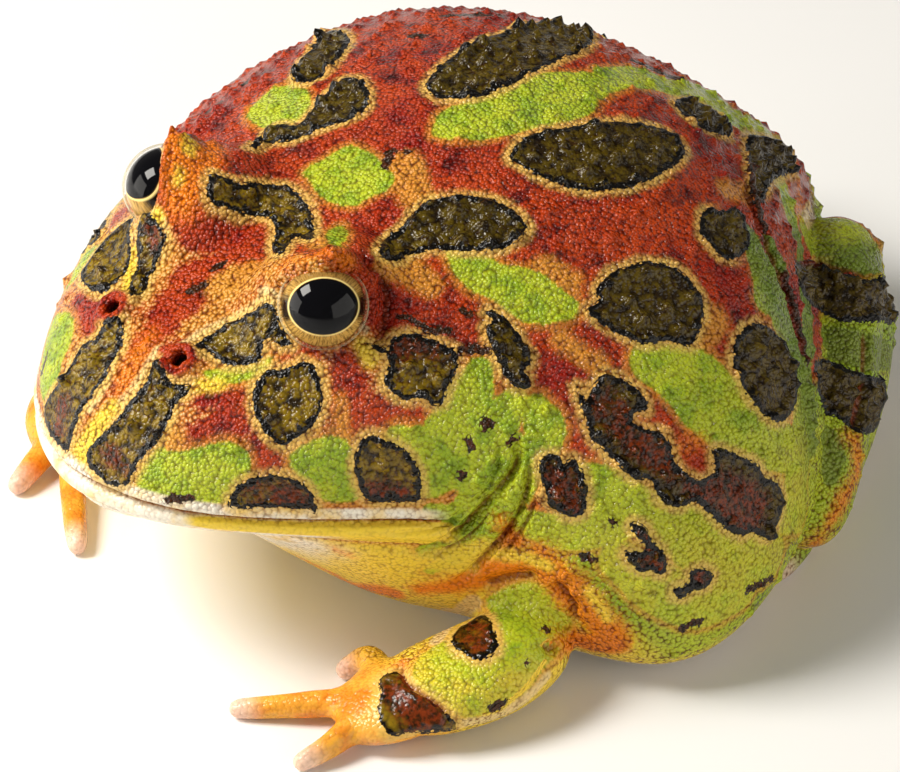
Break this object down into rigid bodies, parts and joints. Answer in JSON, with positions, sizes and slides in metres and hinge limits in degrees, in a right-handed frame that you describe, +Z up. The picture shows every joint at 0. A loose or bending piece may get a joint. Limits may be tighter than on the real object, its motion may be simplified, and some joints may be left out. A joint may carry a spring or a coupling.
{
  "type": "horned frog model",
  "caption": "Life-size still model of an argentine horned frog crouching on its belly, with a wide mouth, brow horns, blotched skin and folded hind legs.",
  "frame": {"origin": "on the floor under the middle of the body, on the flat of the belly", "axes": "the frog faces -Y, its own left side is +X, +Z is up; the floor is z = 0"},
  "size_m": [0.1134, 0.1214, 0.06],
  "materials": {
    "head_skin": "wet, finely granular skin",
    "trunk_skin": "wet skin with small tubercles",
    "limb_skin": "wet, granular skin",
    "hand_skin": "smooth wet skin",
    "horn_skin": "granular skin",
    "eye": "clear and glossy"
  },
  "bodies": {
    "root": {"head": "head_skin", "torso": "trunk_skin", "left_horn": "horn_skin", "left_upper_arm": "limb_skin", "left_forearm": "limb_skin", "left_thigh": "limb_skin", "left_shank": "limb_skin", "left_foot": "limb_skin", "left_hand": "hand_skin", "left_eye": "eye", "right_horn": "horn_skin", "right_upper_arm": "limb_skin", "right_forearm": "limb_skin", "right_thigh": "limb_skin", "right_shank": "limb_skin", "right_foot": "limb_skin", "right_hand": "hand_skin", "right_eye": "eye"}
  },
  "joints": []
}
